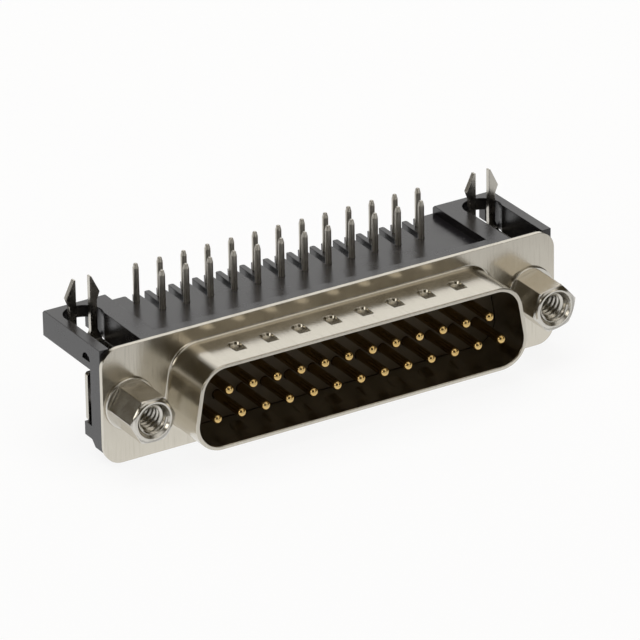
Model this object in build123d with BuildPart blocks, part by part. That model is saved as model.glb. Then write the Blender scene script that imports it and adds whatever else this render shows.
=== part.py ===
from build123d import *
import math
import os

os.makedirs("parts", exist_ok=True)

# A right-angle, board-mounted D-shaped connector plug with 25 contacts.
# X runs along the length, -Y faces the cable plug, +Z faces the circuit board.
# The origin is the centre of the D, in the plane of the flange's front face.

# Contact grid
PITCH = 2.77                  # between neighbouring contacts of one row
ROW_SPACING = 2.84            # between the two rows
WIDE_ROW_COUNT = 13           # contacts of the row on the wide side of the D
PIN_RADIUS = 0.51             # mating pin
PIN_REACH = 5.75              # pin tip in front of the flange
TAIL_RADIUS = 0.325           # round wire that is soldered to the board
TAIL_BEND_RADIUS = 0.9        # centre line of the wire's right-angle bend
TAIL_BEYOND_BOARD = 3.25      # tail length above the seating plane
TAIL_TAPER = 0.13             # how much the end of a tail narrows
TAIL_TAPER_LENGTH = 0.5
TAIL_TIP_ROUND = 0.15
NEAR_TAIL_ROW = 7.46          # tails of the narrow row, behind the flange face
COLLAR_RADIUS = 0.78          # press-fit collar of a contact
COLLAR_LENGTH = 0.8

# Shell: a drawn sheet with flange and D-shaped shroud
SHEET = 0.5                   # thickness of the flange
D_PAST_CONTACTS = 2.86        # inside of the shroud's wide side beyond its last contacts
D_HEIGHT = 8.36
D_SLANT = 10.0                # degrees, each end of the D from upright
D_CORNER = 2.6
SHROUD_WALL = 0.43
SHROUD_REACH = 6.0
ROOT_RADIUS = 0.3             # where the shroud is drawn out of the flange
LIP_ROUND = 0.12
FLANGE_PAST_ENDS = 7.04       # flange beyond the D at each end
FLANGE_PAST_SIDES = 2.095     # flange beyond the D above and below
FLANGE_CORNER = 2.0
SCREW_INSET = 3.0             # screw axis from the end of the flange
SCREW_HOLE_RADIUS = 1.55
EAR_PAST_D = 1.0              # the ears of the flange start this far beyond the D
DIMPLE_COUNT = 8              # earthing dimples on each long side
DIMPLE_PITCH = 3.68
DIMPLE_WIDTH = 1.3
DIMPLE_LENGTH = 2.3
DIMPLE_CORNER = 0.5
DIMPLE_DEPTH = 0.3            # at the steep end, towards the flange
DIMPLE_RAMP = 1.9             # its floor rises to the surface over this length
DIMPLE_START = 2.1            # steep end in front of the flange face
DIMPLE_ROOT = 0.05            # the bump inside reaches this far into the sheet
DIMPLE_DRAFT = 20.0

# Insulator: a front half that holds the collars and a rear half that closes it
FACE_REACH = 0.5              # its face stands this far into the shroud
MOULDING_GAP = 0.05           # around mouldings that sit in the shell or bracket
PIN_GAP = 0.04                # around a pin, its collar or its wire in the insulator
SEAT_PAST_ENDS = 1.12         # its flange beyond the D at each end
SEAT_PAST_SIDES = 1.02        # its flange beyond the D above and below
INSULATOR_FLANGE_THICKNESS = 1.0
BLOCK_PAST_ENDS = 1.68        # its rear block beyond the last contacts
BLOCK_GAP = 0.2               # between its rear block and the comb plate above it
INSULATOR_BLOCK_DEPTH = 3.0
COLLAR_SEAT = 0.6             # step that a collar is pushed against, behind the flange face

# Bracket: one moulding behind the flange
BRACKET_INSET = 0.07          # its ends from the ends of the flange
WALL_ABOVE_SEAT = 0.95        # its wall above the insulator's flange
BRACKET_FOOT = 4.9            # lower end of the uprights below the D's centre
FOOT_BEVEL = 0.6
UPRIGHT_THICKNESS = 2.0
ARM_WIDTH = 7.0
ARM_THICKNESS = 1.3
ARM_PAST_TAILS = 1.65         # rear edge behind the far row of tails
ARM_BEVEL = 0.3               # along the rear edge of each arm
SKIRT_THICKNESS = 0.5
SKIRT_DROP = 2.8              # outer skirt below the seating plane
INNER_RIB = 0.9               # rib that carries the comb plate along each arm
RIM_THICKNESS = 1.25          # raised rim behind the flange, up to the seating plane
COMB_RECESS = 0.95            # comb plate below the seating plane
COMB_THICKNESS = 1.45
TAIL_GAP = 0.045              # around a tail in its comb slot
COMB_CORNER = 0.2             # rounded nose of each comb tooth
SLOT_HALF = 1.87              # open slot along each arm
SLOT_WALL = 0.56              # wall along each side of the slot
LOCK_HOLE_RADIUS = 2.05       # where the board lock comes through an arm
LOCK_HOLE_LINE = 8.9          # its centre behind the flange face
HEEL_HEIGHT = 1.45            # ledge below the earthing tab
HEEL_LENGTH = 5.6
BOSS_RADIUS = 2.6
BOSS_HEIGHT = 0.95
MARK_RADIUS = 0.75            # half-round mark at the root of each arm
MARK_DEPTH = 0.3
MARK_FOOT = 4.2               # its straight side above the D's centre
END_BLOCK_REACH = 1.15        # thick rear end of the outer skirt
END_BLOCK_INSET = 1.6         # its inner side from the lock's centre line

# Fasteners
THREAD_RADIUS = 1.42          # major radius of the screw thread
THREAD_GAP = 0.03
HEX_WIDTH = 4.5               # across flats of the screwlock
HEX_LENGTH = 4.6
HEX_TURN = {"left": -1.0, "right": 11.5}
HEX_BEVEL = 0.23              # depth of the 30 degree bevel on the hexagon's mouth
MOUTH_RADIUS = 1.87           # countersink at the screwlock's mouth
MOUTH_DEPTH = 0.75
BORE_DEPTH = 4.0
SHANK_REACH = 5.1             # shank end behind the flange face
SHANK_BEVEL = 0.3
WASHER_RADIUS = 2.8
WASHER_THICKNESS = 0.3
WASHER_BEVEL = 0.08
INSERT_RADIUS = 1.98          # threaded insert in the upright
INSERT_FIT = 0.02
INSERT_NECK_RADIUS = 1.72     # part that passes the earthing tab
INSERT_HEAD_RADIUS = 2.25     # riveted over the tab
INSERT_HEAD_THICKNESS = 0.3

# Board locks: forked spring strips with an earthing tab
STRIP = 0.5                   # strip thickness
LOCK_LINE = 9.05              # fork behind the flange face
LOCK_GAP = 0.05               # between the strip and the bracket
TAB_HALF = 2.75
TAB_DROP = 2.75               # lower end of the tab below the screw axis
TAB_TOP = 2.5                 # full width of the tab up to here above the screw axis
TAB_CORNER = 0.35
STRAP_HALF = 1.95
STRAP_RISE = 2.85             # centre line of the strap above the screw axis
STRIP_BEND = 0.55             # bend radius on the strip's centre line
NECK_HALF = 1.55
NECK_FOOT = 2.0               # neck starts this far below the seating plane
NECK_ABOVE = 1.15             # and ends this far above it
BARB_HALF = 1.90
BARB_ABOVE = 2.04             # widest point above the seating plane
PRONG_ABOVE = 3.9             # prong tips above the seating plane
PRONG_TIP_HALF = 1.0
PRONG_GAP_HALF = 0.80
PRONG_GAP_RISE = 4.25         # centre of the round bottom between the prongs

# Sizes that follow from the ones above
FAR_TAIL_ROW = NEAR_TAIL_ROW + ROW_SPACING
ROW_HALF = (WIDE_ROW_COUNT - 1) / 2 * PITCH
D_WIDTH = 2 * (ROW_HALF + D_PAST_CONTACTS)
FLANGE_LENGTH = D_WIDTH + 2 * FLANGE_PAST_ENDS
FLANGE_HEIGHT = D_HEIGHT + 2 * FLANGE_PAST_SIDES
SCREW_X = FLANGE_LENGTH / 2 - SCREW_INSET
EAR_START = D_WIDTH / 2 + EAR_PAST_D
INSULATOR_FLANGE_LENGTH = D_WIDTH + 2 * SEAT_PAST_ENDS
INSULATOR_FLANGE_HEIGHT = D_HEIGHT + 2 * SEAT_PAST_SIDES
INSULATOR_BLOCK_LENGTH = 2 * (ROW_HALF + BLOCK_PAST_ENDS)
WINDOW_HALF = INSULATOR_BLOCK_LENGTH / 2 + MOULDING_GAP
SEAT_HEIGHT = INSULATOR_FLANGE_HEIGHT / 2 + MOULDING_GAP + WALL_ABOVE_SEAT
BRACKET_END = FLANGE_LENGTH / 2 - BRACKET_INSET
BRACKET_FRONT = SHEET
BRACKET_DEPTH = FAR_TAIL_ROW + ARM_PAST_TAILS
UPRIGHT_BACK = BRACKET_FRONT + UPRIGHT_THICKNESS
BOSS_BACK = UPRIGHT_BACK + BOSS_HEIGHT
TAB_BACK = BOSS_BACK + STRIP
HEEL_TOP = TAB_DROP + LOCK_GAP
ARM_INNER = BRACKET_END - ARM_WIDTH
ARM_UNDERSIDE = SEAT_HEIGHT - ARM_THICKNESS
COMB_TOP = SEAT_HEIGHT - COMB_RECESS
COMB_UNDERSIDE = COMB_TOP - COMB_THICKNESS
COMB_SLOT_HALF = TAIL_RADIUS + TAIL_GAP
INSULATOR_BLOCK_HEIGHT = 2 * (COMB_UNDERSIDE - BLOCK_GAP)
SLOT_WALL_FOOT = STRAP_RISE + STRIP / 2 + LOCK_GAP
ARM_START = (BOSS_RADIUS + SLOT_WALL_FOOT) / 2
TAIL_TIP = SEAT_HEIGHT + TAIL_BEYOND_BOARD
SIDES = {"left": -1, "right": 1}
BEYOND = FLANGE_LENGTH        # farther than any face, for cuts that go right through
SAME_PLACE = 0.001


def at_depth(depth):
    """Plane that faces the cable plug, this far behind the flange's front face."""
    return Plane.XZ.offset(-depth)


def at_screw(name, depth):
    """The same plane with its origin moved onto the left or right screw's axis."""
    return Plane((SIDES[name] * SCREW_X, depth, 0), x_dir=(1, 0, 0), z_dir=(0, -1, 0))


def contact_place(number):
    """Row height, distance along the row and tail row of a contact, by its number."""
    if number <= WIDE_ROW_COUNT:
        along = ((WIDE_ROW_COUNT + 1) / 2 - number) * PITCH
        return -ROW_SPACING / 2, along, FAR_TAIL_ROW
    along = (1.5 * WIDE_ROW_COUNT - number) * PITCH
    return ROW_SPACING / 2, along, NEAR_TAIL_ROW


CONTACT_NUMBERS = range(1, 2 * WIDE_ROW_COUNT)


def d_sketch(growth):
    """The D outline, grown or shrunk evenly from the inside of the shroud."""
    with BuildSketch() as outline:
        Trapezoid(D_WIDTH, D_HEIGHT, 90 - D_SLANT)
        fillet(outline.vertices(), D_CORNER)
        if growth:
            offset(amount=growth, kind=Kind.ARC)
    return outline.sketch


def share(solid, low, high):
    """The share of a solid that lies between two opposite corners of a box."""
    size = Vector(*high) - Vector(*low)
    with BuildPart() as piece:
        add(solid)
        with Locations(Vector(*low) + size / 2):
            Box(size.X, size.Y, size.Z, mode=Mode.INTERSECT)
    return piece.part


def remainder(solid, low, high):
    """What is left of a solid outside a box."""
    size = Vector(*high) - Vector(*low)
    with BuildPart() as piece:
        add(solid)
        with Locations(Vector(*low) + size / 2):
            Box(size.X, size.Y, size.Z, mode=Mode.SUBTRACT)
    return piece.part


def export_piece(piece, label):
    """Labels a piece and writes its file."""
    piece.label = label
    export_step(piece, f"parts/{label}.step")


# Shell
with BuildPart() as shell:
    # The flange is a flat plate
    with BuildSketch(at_depth(SHEET)):
        RectangleRounded(FLANGE_LENGTH, FLANGE_HEIGHT, FLANGE_CORNER)
        with Locations((-SCREW_X, 0), (SCREW_X, 0)):
            Circle(SCREW_HOLE_RADIUS, mode=Mode.SUBTRACT)
    extrude(amount=SHEET)
    # The shroud is drawn forward out of it
    with BuildSketch(at_depth(0)):
        add(d_sketch(SHROUD_WALL))
    extrude(amount=SHROUD_REACH)
    near_d = D_WIDTH / 2 + 2 * SHROUD_WALL
    near_d_side = D_HEIGHT / 2 + 2 * SHROUD_WALL
    root_edges = shell.edges().filter_by_position(Axis.Y, -SAME_PLACE, SAME_PLACE)
    root_edges = root_edges.filter_by(lambda edge: abs(edge.center().X) < near_d)
    root_edges = root_edges.filter_by(lambda edge: abs(edge.center().Z) < near_d_side)
    fillet(root_edges, ROOT_RADIUS)
    # The D opening goes right through, and its back edge is drawn in round
    with BuildSketch(at_depth(SHEET)):
        add(d_sketch(0))
    extrude(amount=SHEET + SHROUD_REACH, mode=Mode.SUBTRACT)
    back_edges = shell.edges().filter_by_position(Axis.Y, SHEET - SAME_PLACE, SHEET + SAME_PLACE)
    back_edges = back_edges.filter_by(lambda edge: abs(edge.center().X) < near_d)
    back_edges = back_edges.filter_by(lambda edge: abs(edge.center().Z) < near_d_side)
    fillet(back_edges, ROOT_RADIUS + SHROUD_WALL)
    lip_edges = shell.faces().sort_by(Axis.Y)[0].edges()
    fillet(lip_edges, LIP_ROUND)
    # Earthing dimples are pressed inward on both long sides, deepest towards the flange
    slope = DIMPLE_DEPTH / DIMPLE_RAMP
    dimple_centre = DIMPLE_START + DIMPLE_LENGTH / 2
    floor_height = D_HEIGHT / 2 + SHROUD_WALL - DIMPLE_DEPTH + slope * DIMPLE_LENGTH / 2
    for side in (1, -1):
        floor = Plane((0, -dimple_centre, side * floor_height), x_dir=(1, 0, 0), z_dir=(0, slope, side))
        with BuildSketch(floor.offset(-SHROUD_WALL)):
            with GridLocations(DIMPLE_PITCH, 1, DIMPLE_COUNT, 1):
                RectangleRounded(DIMPLE_WIDTH, DIMPLE_LENGTH, DIMPLE_CORNER)
        extrude(amount=DIMPLE_DEPTH + DIMPLE_ROOT, taper=-DIMPLE_DRAFT)
        with BuildSketch(floor):
            with GridLocations(DIMPLE_PITCH, 1, DIMPLE_COUNT, 1):
                RectangleRounded(DIMPLE_WIDTH, DIMPLE_LENGTH, DIMPLE_CORNER)
        extrude(amount=2 * DIMPLE_DEPTH, taper=-DIMPLE_DRAFT, mode=Mode.SUBTRACT)

# The sheet is kept as a shroud, the flange round it and two ears
shroud_high = (BEYOND, -ROOT_RADIUS, BEYOND)
export_piece(share(shell.part, (-BEYOND, -BEYOND, -BEYOND), shroud_high), "shell_shroud")
flange_low = (-EAR_START, -ROOT_RADIUS, -BEYOND)
export_piece(share(shell.part, flange_low, (EAR_START, BEYOND, BEYOND)), "shell_flange")
export_piece(share(shell.part, (-BEYOND, -BEYOND, -BEYOND), (-EAR_START, BEYOND, BEYOND)), "shell_ear_left")
export_piece(share(shell.part, (EAR_START, -BEYOND, -BEYOND), (BEYOND, BEYOND, BEYOND)), "shell_ear_right")


# Insulator
bore_places = [(contact_place(number)[1], contact_place(number)[0]) for number in CONTACT_NUMBERS]
halves_meet = SHEET + INSULATOR_FLANGE_THICKNESS
with BuildPart() as insulator_front:
    # Boss that fills the D opening
    with BuildSketch(at_depth(SHEET)):
        add(d_sketch(-MOULDING_GAP))
    extrude(amount=SHEET + FACE_REACH)
    # Flange that is trapped between shell and bracket
    with BuildSketch(at_depth(halves_meet)):
        RectangleRounded(INSULATOR_FLANGE_LENGTH, INSULATOR_FLANGE_HEIGHT, FLANGE_CORNER)
    extrude(amount=INSULATOR_FLANGE_THICKNESS)
    # Stepped bores for the collars and the pins
    with BuildSketch(at_depth(halves_meet)):
        with Locations(*bore_places):
            Circle(COLLAR_RADIUS + PIN_GAP)
    extrude(amount=halves_meet - COLLAR_SEAT, mode=Mode.SUBTRACT)
    with BuildSketch(at_depth(COLLAR_SEAT)):
        with Locations(*bore_places):
            Circle(PIN_RADIUS + PIN_GAP)
    extrude(amount=COLLAR_SEAT + FACE_REACH, mode=Mode.SUBTRACT)
export_piece(insulator_front.part, "insulator_front")

with BuildPart() as insulator_rear:
    # Block behind the collars, which the bent wires leave at its back
    with BuildSketch(at_depth(halves_meet + INSULATOR_BLOCK_DEPTH)):
        RectangleRounded(INSULATOR_BLOCK_LENGTH, INSULATOR_BLOCK_HEIGHT, FLANGE_CORNER / 2)
        with Locations(*bore_places):
            Circle(TAIL_RADIUS + PIN_GAP, mode=Mode.SUBTRACT)
    extrude(amount=INSULATOR_BLOCK_DEPTH)
export_piece(insulator_rear.part, "insulator_rear")


# Bracket
with BuildPart() as bracket:
    # Upright wall behind the flange, open at the foot for the insulator
    with BuildSketch(at_depth(UPRIGHT_BACK)):
        with Locations((0, (SEAT_HEIGHT - BRACKET_FOOT) / 2)):
            Rectangle(2 * BRACKET_END, SEAT_HEIGHT + BRACKET_FOOT)
        window_height = COMB_UNDERSIDE + BRACKET_FOOT
        with Locations((0, COMB_UNDERSIDE - window_height / 2)):
            Rectangle(2 * WINDOW_HALF, window_height, mode=Mode.SUBTRACT)
    extrude(amount=UPRIGHT_THICKNESS)
    foot_edges = bracket.faces().sort_by(Axis.Y)[-1].edges()
    foot_edges = foot_edges.filter_by_position(Axis.Z, -BRACKET_FOOT - SAME_PLACE, -BRACKET_FOOT + SAME_PLACE)
    chamfer(foot_edges, FOOT_BEVEL)
    # Seat of the insulator's flange
    with BuildSketch(at_depth(SHEET + INSULATOR_FLANGE_THICKNESS)):
        pocket_height = INSULATOR_FLANGE_HEIGHT / 2 + MOULDING_GAP + BRACKET_FOOT
        with Locations((0, pocket_height / 2 - BRACKET_FOOT)):
            Rectangle(INSULATOR_FLANGE_LENGTH + 2 * MOULDING_GAP, pocket_height)
    extrude(amount=INSULATOR_FLANGE_THICKNESS, mode=Mode.SUBTRACT)
    # Between the arms the wall is lower behind its rim
    with BuildSketch(Plane.XY.offset(SEAT_HEIGHT)):
        step_depth = UPRIGHT_THICKNESS - RIM_THICKNESS
        with Locations((0, UPRIGHT_BACK - step_depth / 2)):
            Rectangle(2 * ARM_INNER, step_depth)
    extrude(amount=-COMB_RECESS, mode=Mode.SUBTRACT)
    # Arms, skirts and ribs
    reach = BRACKET_DEPTH - UPRIGHT_BACK
    reach_centre = UPRIGHT_BACK + reach / 2
    for side in SIDES.values():
        arm_centre = side * (ARM_INNER + ARM_WIDTH / 2)
        with BuildSketch(Plane.XY.offset(SEAT_HEIGHT)):
            with Locations((arm_centre, reach_centre)):
                Rectangle(ARM_WIDTH, reach)
        extrude(amount=-ARM_THICKNESS)
        skirt_centre = side * (BRACKET_END - SKIRT_THICKNESS / 2)
        with BuildSketch(Plane.XY.offset(ARM_UNDERSIDE)):
            with Locations((skirt_centre, reach_centre)):
                Rectangle(SKIRT_THICKNESS, reach)
        extrude(amount=-(SKIRT_DROP - ARM_THICKNESS))
        rib_centre = side * (ARM_INNER + INNER_RIB / 2)
        with BuildSketch(Plane.XY.offset(ARM_UNDERSIDE)):
            with Locations((rib_centre, reach_centre)):
                Rectangle(INNER_RIB, reach)
        extrude(amount=-(ARM_UNDERSIDE - COMB_UNDERSIDE))
        wall_offset = SLOT_HALF + SLOT_WALL / 2
        with BuildSketch(Plane.XY.offset(ARM_UNDERSIDE)):
            with Locations((side * SCREW_X - wall_offset, reach_centre), (side * SCREW_X + wall_offset, reach_centre)):
                Rectangle(SLOT_WALL, reach)
        extrude(amount=-(ARM_UNDERSIDE - SLOT_WALL_FOOT))
    rear_edges = bracket.edges().filter_by_position(Axis.Y, BRACKET_DEPTH - SAME_PLACE, BRACKET_DEPTH + SAME_PLACE)
    rear_edges = rear_edges.filter_by_position(Axis.Z, SEAT_HEIGHT - SAME_PLACE, SEAT_HEIGHT + SAME_PLACE)
    chamfer(rear_edges, ARM_BEVEL)
    # Comb plate: its slots are open to the rear, so that the tails slide in
    with BuildSketch(Plane.XY.offset(COMB_TOP)) as comb:
        with Locations((0, reach_centre)):
            Rectangle(2 * ARM_INNER, reach)
        for number in CONTACT_NUMBERS:
            row, along, tail_row = contact_place(number)
            slot_reach = BRACKET_DEPTH - tail_row
            with Locations((along, tail_row + slot_reach / 2)):
                Rectangle(2 * COMB_SLOT_HALF, slot_reach, mode=Mode.SUBTRACT)
            with Locations((along, tail_row)):
                Circle(COMB_SLOT_HALF, mode=Mode.SUBTRACT)
        noses = comb.vertices().filter_by_position(Axis.Y, BRACKET_DEPTH - SAME_PLACE, BRACKET_DEPTH + SAME_PLACE)
        noses = noses.filter_by(lambda vertex: abs(vertex.X) < ARM_INNER - SAME_PLACE)
        fillet(noses, COMB_CORNER)
    extrude(amount=-COMB_THICKNESS)
    # What each end has: slot, hole, boss, heel and mark
    for side in SIDES.values():
        centre = side * SCREW_X
        outer = side * BRACKET_END
        # Slot that is open towards the board, with the round hole of the board lock
        with BuildSketch(Plane.XY.offset(SEAT_HEIGHT)):
            slot_length = LOCK_HOLE_LINE - BRACKET_FRONT
            with Locations((centre, BRACKET_FRONT + slot_length / 2)):
                Rectangle(2 * SLOT_HALF, slot_length)
            with Locations((centre, LOCK_HOLE_LINE)):
                Circle(LOCK_HOLE_RADIUS)
        extrude(amount=-(SEAT_HEIGHT - SLOT_WALL_FOOT), mode=Mode.SUBTRACT)
        # Thick rear end of the outer skirt
        block_inner = centre + side * END_BLOCK_INSET
        with BuildSketch(Plane.XY.offset(ARM_UNDERSIDE)):
            with Locations(((block_inner + outer) / 2, BRACKET_DEPTH - END_BLOCK_REACH / 2)):
                Rectangle(abs(outer - block_inner), END_BLOCK_REACH)
        extrude(amount=-(SKIRT_DROP - ARM_THICKNESS))
        # Boss behind the upright, and the heel below it
        with BuildSketch(at_depth(BOSS_BACK)):
            with Locations((centre, 0)):
                Circle(BOSS_RADIUS)
        extrude(amount=BOSS_HEIGHT)
        with BuildSketch(at_depth(TAB_BACK)):
            with Locations((outer - side * HEEL_LENGTH / 2, -HEEL_TOP - HEEL_HEIGHT / 2)):
                Rectangle(HEEL_LENGTH, HEEL_HEIGHT)
        extrude(amount=TAB_BACK - UPRIGHT_BACK)
        # Seat of the threaded insert
        with BuildSketch(at_depth(BOSS_BACK)):
            with Locations((centre, 0)):
                Circle(INSERT_RADIUS + INSERT_FIT)
        extrude(amount=BOSS_BACK - BRACKET_FRONT, mode=Mode.SUBTRACT)
        # Half-round mark on the outer side
        with BuildSketch(Plane.YZ.offset(outer)):
            with Locations((UPRIGHT_BACK + MARK_RADIUS, MARK_FOOT)):
                Circle(MARK_RADIUS)
            with Locations((UPRIGHT_BACK + MARK_RADIUS, MARK_FOOT - MARK_RADIUS / 2)):
                Rectangle(2 * MARK_RADIUS, MARK_RADIUS, mode=Mode.SUBTRACT)
        extrude(amount=-side * MARK_DEPTH, mode=Mode.SUBTRACT)

# The moulding is kept as the comb between its ends, and an upright and an arm at each end
comb_share = share(bracket.part, (-WINDOW_HALF, -BEYOND, -BEYOND), (WINDOW_HALF, BEYOND, BEYOND))
export_piece(comb_share, "bracket_comb")
left_end = share(bracket.part, (-BEYOND, -BEYOND, -BEYOND), (-WINDOW_HALF, BEYOND, BEYOND))
right_end = share(bracket.part, (WINDOW_HALF, -BEYOND, -BEYOND), (BEYOND, BEYOND, BEYOND))
arm_low = (-BEYOND, UPRIGHT_BACK, ARM_START)
arm_high = (BEYOND, BEYOND, BEYOND)
for name, end in (("left", left_end), ("right", right_end)):
    export_piece(share(end, arm_low, arm_high), f"bracket_arm_{name}")
    export_piece(remainder(end, arm_low, arm_high), f"bracket_upright_{name}")


# Contacts
def make_contact(number):
    """A pin in the shroud, a collar in the insulator and a bent tail to the board."""
    row, along, tail_row = contact_place(number)
    with BuildPart() as contact:
        with BuildSketch(Plane.YZ.offset(along)):
            with BuildLine():
                ball_centre = PIN_RADIUS - PIN_REACH
                shoulder = COLLAR_SEAT + COLLAR_LENGTH
                Line((ball_centre - PIN_RADIUS, row), (shoulder, row))
                Line((shoulder, row), (shoulder, row + COLLAR_RADIUS))
                Line((shoulder, row + COLLAR_RADIUS), (COLLAR_SEAT, row + COLLAR_RADIUS))
                Line((COLLAR_SEAT, row + COLLAR_RADIUS), (COLLAR_SEAT, row + PIN_RADIUS))
                Line((COLLAR_SEAT, row + PIN_RADIUS), (ball_centre, row + PIN_RADIUS))
                RadiusArc((ball_centre, row + PIN_RADIUS), (ball_centre - PIN_RADIUS, row), -PIN_RADIUS)
            make_face()
        revolve(axis=Axis((along, 0, row), (0, 1, 0)))
        with BuildLine(Plane.YZ.offset(along)) as route:
            FilletPolyline((shoulder, row), (tail_row, row), (tail_row, TAIL_TIP), radius=TAIL_BEND_RADIUS)
        with BuildSketch(at_depth(shoulder)):
            with Locations((along, row)):
                Circle(TAIL_RADIUS)
        sweep(path=route.wire())
        # The cut end is drawn to a blunt point
        end = contact.faces().sort_by(Axis.Z)[-1]
        chamfer(end.edges(), TAIL_TAPER, TAIL_TAPER_LENGTH, reference=end)
        fillet(contact.faces().sort_by(Axis.Z)[-1].edges(), TAIL_TIP_ROUND)
    return contact.part


for number in CONTACT_NUMBERS:
    export_piece(make_contact(number), f"contact_{number:02d}")


# Screwlocks, washers and threaded inserts
def make_screwlock(name):
    """Hexagonal jack with a threaded mouth in front and a threaded shank behind."""
    centre = SIDES[name] * SCREW_X
    axis = Axis((centre, 0, 0), (0, 1, 0))
    hex_back = -WASHER_THICKNESS
    hex_front = hex_back - HEX_LENGTH
    with BuildPart() as screwlock:
        with BuildSketch(at_depth(hex_back)):
            with Locations((centre, 0)):
                RegularPolygon(HEX_WIDTH / 2, 6, major_radius=False, rotation=HEX_TURN[name])
        extrude(amount=HEX_LENGTH)
        # The mouth's bevel turns the hexagon into a circle at the front
        corner = HEX_WIDTH / 2 / math.cos(math.radians(30))
        bevel_start = hex_front + HEX_BEVEL
        bevel_radius = corner - HEX_BEVEL / math.tan(math.radians(30))
        with BuildSketch(Plane.XY):
            with BuildLine():
                Polyline((centre, hex_back), (centre + corner, hex_back), (centre + corner, bevel_start),
                         (centre + bevel_radius, hex_front), (centre, hex_front), close=True)
            make_face()
        revolve(axis=axis, mode=Mode.INTERSECT)
        # Countersunk mouth and thread bore
        with BuildSketch(Plane.XY):
            with BuildLine():
                Polyline((centre, hex_front), (centre + MOUTH_RADIUS, hex_front),
                         (centre + THREAD_RADIUS, hex_front + MOUTH_DEPTH),
                         (centre + THREAD_RADIUS, hex_front + BORE_DEPTH),
                         (centre, hex_front + BORE_DEPTH), close=True)
            make_face()
        revolve(axis=axis, mode=Mode.SUBTRACT)
        # Shank through washer, flange and insert
        with BuildSketch(at_depth(SHANK_REACH)):
            with Locations((centre, 0)):
                Circle(THREAD_RADIUS)
        extrude(amount=SHANK_REACH - hex_back)
        chamfer(screwlock.faces().sort_by(Axis.Y)[-1].edges(), SHANK_BEVEL)
    return screwlock.part


def make_washer(name):
    """Flat ring between the screwlock and the flange."""
    with BuildPart() as washer:
        with BuildSketch(at_depth(0)):
            with Locations((SIDES[name] * SCREW_X, 0)):
                Circle(WASHER_RADIUS)
                Circle(SCREW_HOLE_RADIUS, mode=Mode.SUBTRACT)
        extrude(amount=WASHER_THICKNESS)
        rims = washer.edges().filter_by(GeomType.CIRCLE).sort_by(SortBy.RADIUS)[-2:]
        chamfer(rims, WASHER_BEVEL)
    return washer.part


def make_insert(name):
    """Threaded insert whose rear end is riveted over the earthing tab."""
    centre = SIDES[name] * SCREW_X
    head_back = TAB_BACK + INSERT_HEAD_THICKNESS
    bore = THREAD_RADIUS + THREAD_GAP
    with BuildPart() as insert:
        with BuildSketch(Plane.XY):
            with BuildLine():
                Polyline((centre + bore, SHEET), (centre + INSERT_RADIUS, SHEET),
                         (centre + INSERT_RADIUS, BOSS_BACK), (centre + INSERT_NECK_RADIUS, BOSS_BACK),
                         (centre + INSERT_NECK_RADIUS, TAB_BACK), (centre + INSERT_HEAD_RADIUS, TAB_BACK))
                head_edge = INSERT_HEAD_RADIUS - INSERT_HEAD_THICKNESS
                RadiusArc((centre + INSERT_HEAD_RADIUS, TAB_BACK), (centre + head_edge, head_back),
                          -INSERT_HEAD_THICKNESS)
                Polyline((centre + head_edge, head_back), (centre + bore, head_back), (centre + bore, SHEET))
            make_face()
        revolve(axis=Axis((centre, 0, 0), (0, 1, 0)))
    return insert.part


# Board locks
def make_board_lock(name):
    """Strip bent from the earthing tab to a fork, trimmed to its outline seen from the front."""
    centre = SIDES[name] * SCREW_X
    tab_line = BOSS_BACK + STRIP / 2
    prong_tip = SEAT_HEIGHT + PRONG_ABOVE
    with BuildPart() as board_lock:
        # Bent strip, as wide as its widest part
        with BuildSketch(Plane.YZ.offset(centre)):
            with BuildLine() as bend_line:
                FilletPolyline((tab_line, -TAB_DROP), (tab_line, STRAP_RISE), (LOCK_LINE, STRAP_RISE),
                               (LOCK_LINE, prong_tip), radius=STRIP_BEND)
                offset(bend_line.wire(), amount=STRIP / 2, side=Side.BOTH, kind=Kind.ARC)
            make_face()
        extrude(amount=TAB_HALF, both=True)
        # Outline seen from the front: tab, strap, two barbed prongs
        with BuildSketch(at_screw(name, LOCK_LINE + STRIP)):
            with BuildLine():
                Polyline((0, STRAP_RISE), (STRAP_HALF, STRAP_RISE), (STRAP_HALF, STRAP_RISE + STRIP),
                         (NECK_HALF, SEAT_HEIGHT - NECK_FOOT), (NECK_HALF, SEAT_HEIGHT + NECK_ABOVE),
                         (BARB_HALF, SEAT_HEIGHT + BARB_ABOVE), (PRONG_TIP_HALF, prong_tip), (0, prong_tip),
                         close=True)
            make_face()
            mirror(about=Plane.YZ)
            with Locations((0, (TAB_TOP - TAB_DROP) / 2)):
                RectangleRounded(2 * TAB_HALF, TAB_TOP + TAB_DROP, TAB_CORNER)
            with Locations((0, (TAB_TOP + STRAP_RISE) / 2)):
                Rectangle(2 * STRAP_HALF, STRAP_RISE - TAB_TOP + STRIP)
            with Locations((0, (PRONG_GAP_RISE + prong_tip) / 2)):
                Rectangle(2 * PRONG_GAP_HALF, prong_tip - PRONG_GAP_RISE, mode=Mode.SUBTRACT)
            with Locations((0, PRONG_GAP_RISE)):
                Circle(PRONG_GAP_HALF, mode=Mode.SUBTRACT)
            Circle(INSERT_NECK_RADIUS + THREAD_GAP, mode=Mode.SUBTRACT)
        extrude(amount=LOCK_LINE + STRIP, mode=Mode.INTERSECT)
    return board_lock.part


for name in SIDES:
    export_piece(make_screwlock(name), f"screwlock_{name}")
    export_piece(make_washer(name), f"washer_{name}")
    export_piece(make_insert(name), f"insert_{name}")
    # The strip is kept as its earthing tab and the strap with the fork
    board_lock = make_board_lock(name)
    strap_start = TAB_BACK + LOCK_GAP
    export_piece(share(board_lock, (-BEYOND, 0, -BEYOND), (BEYOND, strap_start, BEYOND)), f"earth_tab_{name}")
    export_piece(share(board_lock, (-BEYOND, strap_start, -BEYOND), (BEYOND, BEYOND, BEYOND)), f"board_lock_{name}")
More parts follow.
